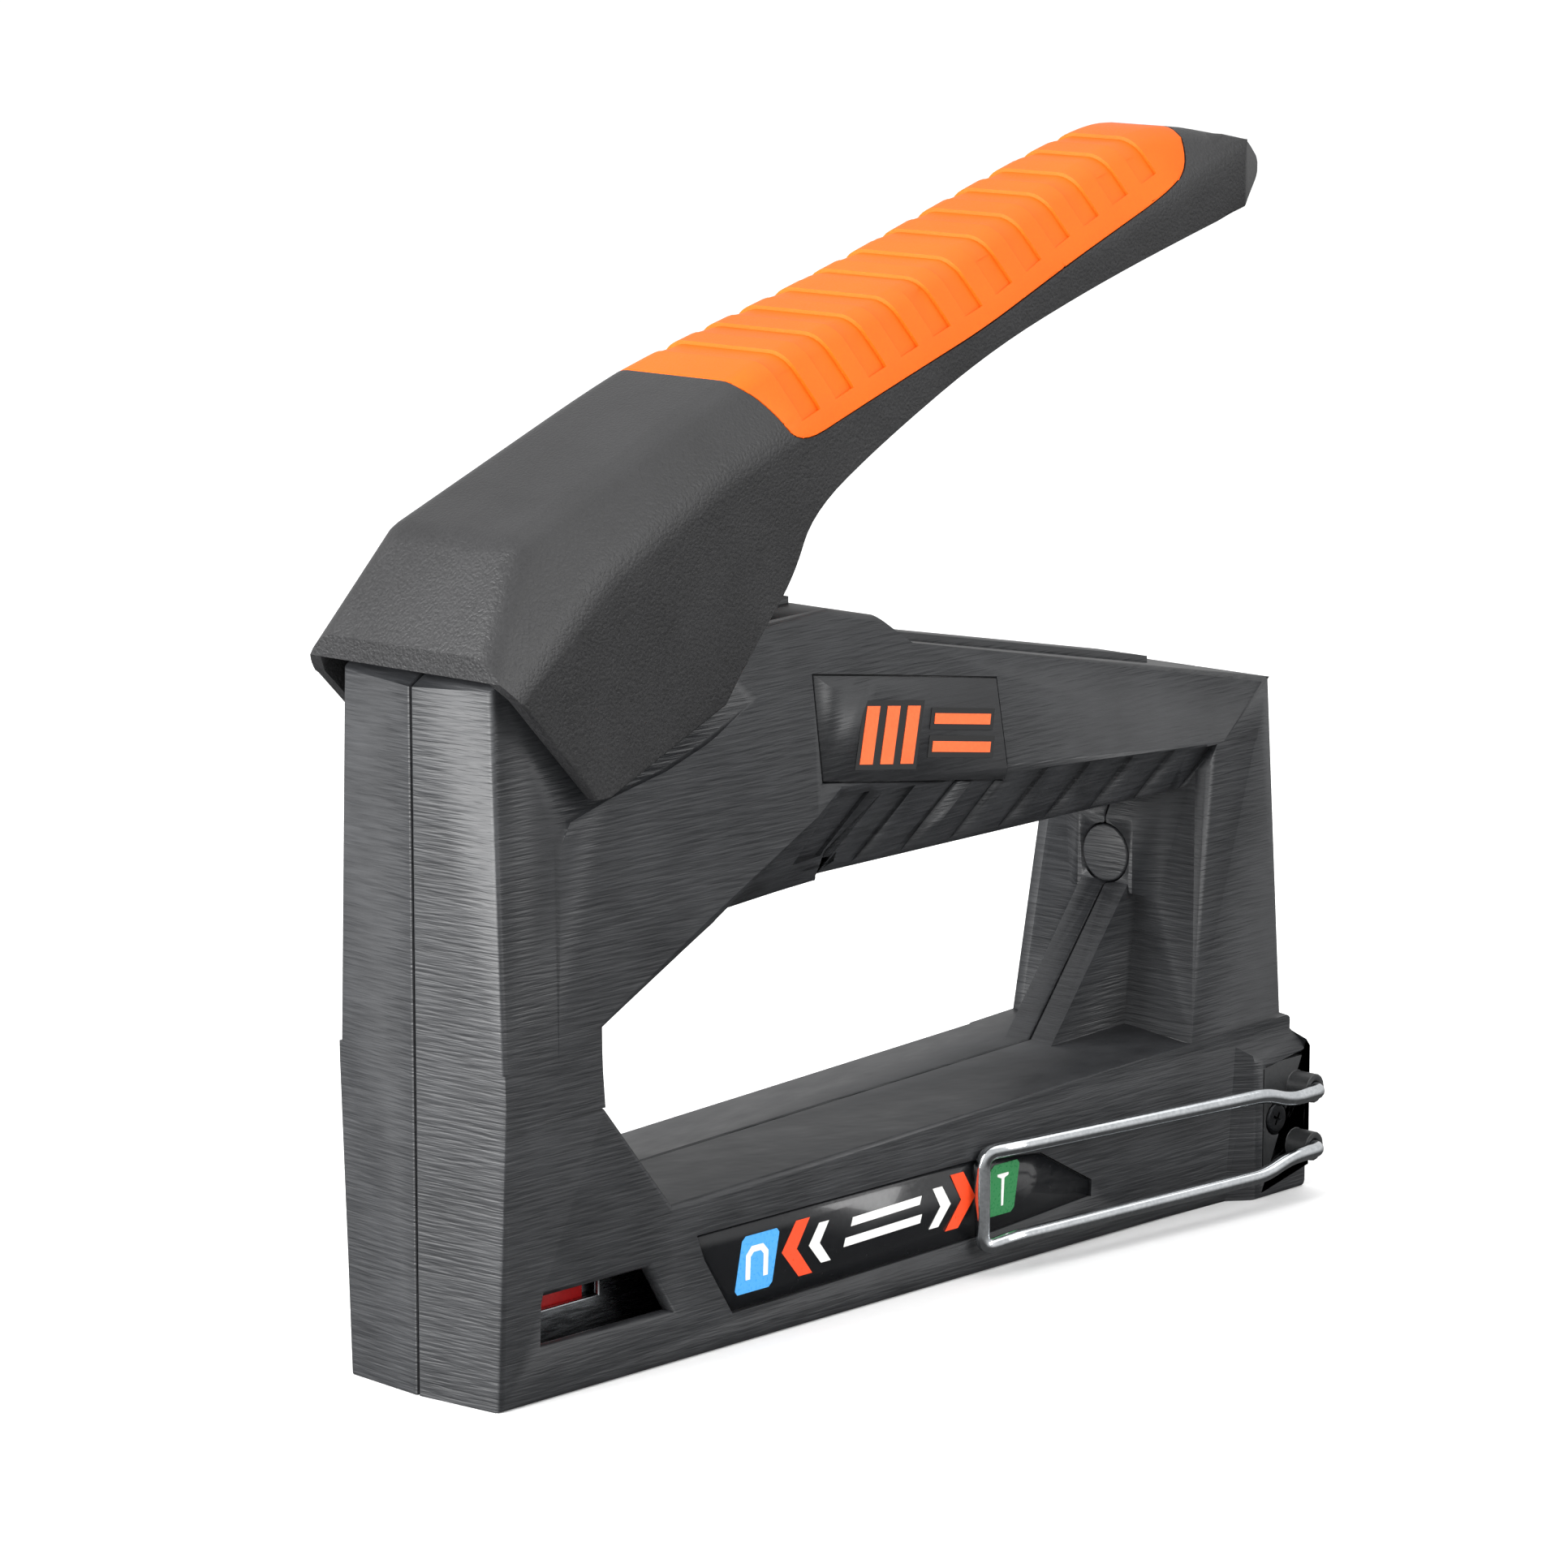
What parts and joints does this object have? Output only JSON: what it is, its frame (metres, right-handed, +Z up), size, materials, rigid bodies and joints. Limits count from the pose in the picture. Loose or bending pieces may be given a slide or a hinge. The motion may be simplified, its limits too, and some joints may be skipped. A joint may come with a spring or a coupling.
{
  "type": "staple gun",
  "caption": "Hand-squeezed staple gun: two-shell body with a finger opening, pivoted lever with soft grip, spring-driven striker, draw-out magazine rail and wire belt hook.",
  "frame": {"origin": "on the magazine channel's underside, the plane the tool stands on, in the tool's centre plane and 95 mm behind the front of the nose", "axes": "+X to the rear, from the nose to the rail cap, +Y to the side without the belt hook, +Z up, from the work surface to the lever"},
  "size_m": [0.2024, 0.0513, 0.182],
  "materials": {
    "housing_plastic": "glass-filled nylon, fine horizontal texture",
    "lever_plastic": "glass-filled nylon, spark-eroded grain",
    "black_plastic": "moulded",
    "grip_rubber": "satin overmoulded elastomer",
    "red_plastic": "moulded",
    "bumper_rubber": "matt",
    "steel": "zinc-plated pressing",
    "dark_steel": "black oxide",
    "spring_steel": "drawn wire",
    "zinc_wire": "bright zinc-plated wire",
    "label_film": "gloss film",
    "badge_film": "satin film"
  },
  "bodies": {
    "frame": {"housing_left": "housing_plastic", "housing_right": "housing_plastic", "seam_plug": "housing_plastic", "housing_screw_1": "dark_steel", "housing_screw_2": "dark_steel", "housing_screw_3": "dark_steel", "housing_screw_4": "dark_steel", "housing_screw_5": "dark_steel", "housing_screw_6": "dark_steel", "housing_screw_7": "dark_steel", "housing_screw_8": "dark_steel", "lever_pin": "steel", "return_spring": "spring_steel", "spring_seat": "steel", "bumper": "bumper_rubber", "driver_guide": "steel", "magazine_channel": "steel", "hook_plate": "black_plastic", "belt_hook": "zinc_wire", "hook_screw": "dark_steel", "label_left": "label_film", "label_right": "label_film", "badge_left": "badge_film", "badge_right": "badge_film"},
    "lever": {"lever_arm": "lever_plastic", "lever_grip": "grip_rubber", "lever_core": "steel", "core_pin_front": "steel", "core_pin_rear": "steel"},
    "striker": {"hammer": "dark_steel", "driver_blade": "steel", "blade_rivet": "steel", "lift_rod": "steel", "power_spring": "spring_steel"},
    "magazine": {"magazine_rail": "steel", "rail_cap": "black_plastic", "guide_rod": "steel", "pusher_spring": "spring_steel"},
    "pusher": {"pusher": "red_plastic", "pusher_block": "black_plastic"},
    "latch": {"latch_button": "red_plastic"}
  },
  "joints": [
    {"name": "lever_squeeze", "type": "hinge", "parent": "frame", "child": "lever", "pos_m": [-0.059, 0, 0.107], "axis": [0, 1, 0], "range_deg": [0, 28], "stiffness_Nm_per_rad": 1, "springref_deg": -34.38},
    {"name": "striker_lift", "type": "slide", "parent": "frame", "child": "striker", "axis": [0, 0, 1], "range_m": [0, 0.0126], "stiffness_N_per_m": 1500, "springref_m": -0.006, "deforming": ["power_spring"]},
    {"name": "magazine_draw", "type": "slide", "parent": "frame", "child": "magazine", "axis": [1, 0, 0], "range_m": [0, 0.12]},
    {"name": "pusher_slide", "type": "slide", "parent": "magazine", "child": "pusher", "axis": [1, 0, 0], "range_m": [0, 0.1], "stiffness_N_per_m": 30, "springref_m": -0.12, "deforming": ["pusher_spring"]},
    {"name": "latch_press", "type": "slide", "parent": "magazine", "child": "latch", "axis": [-1, 0, 0], "range_m": [0, 0.0015], "stiffness_N_per_m": 800, "springref_m": -0.001}
  ],
  "couplings": [
    {"joint": "striker_lift", "follows": "lever_squeeze", "m_per_rad": 0.02557}
  ]
}
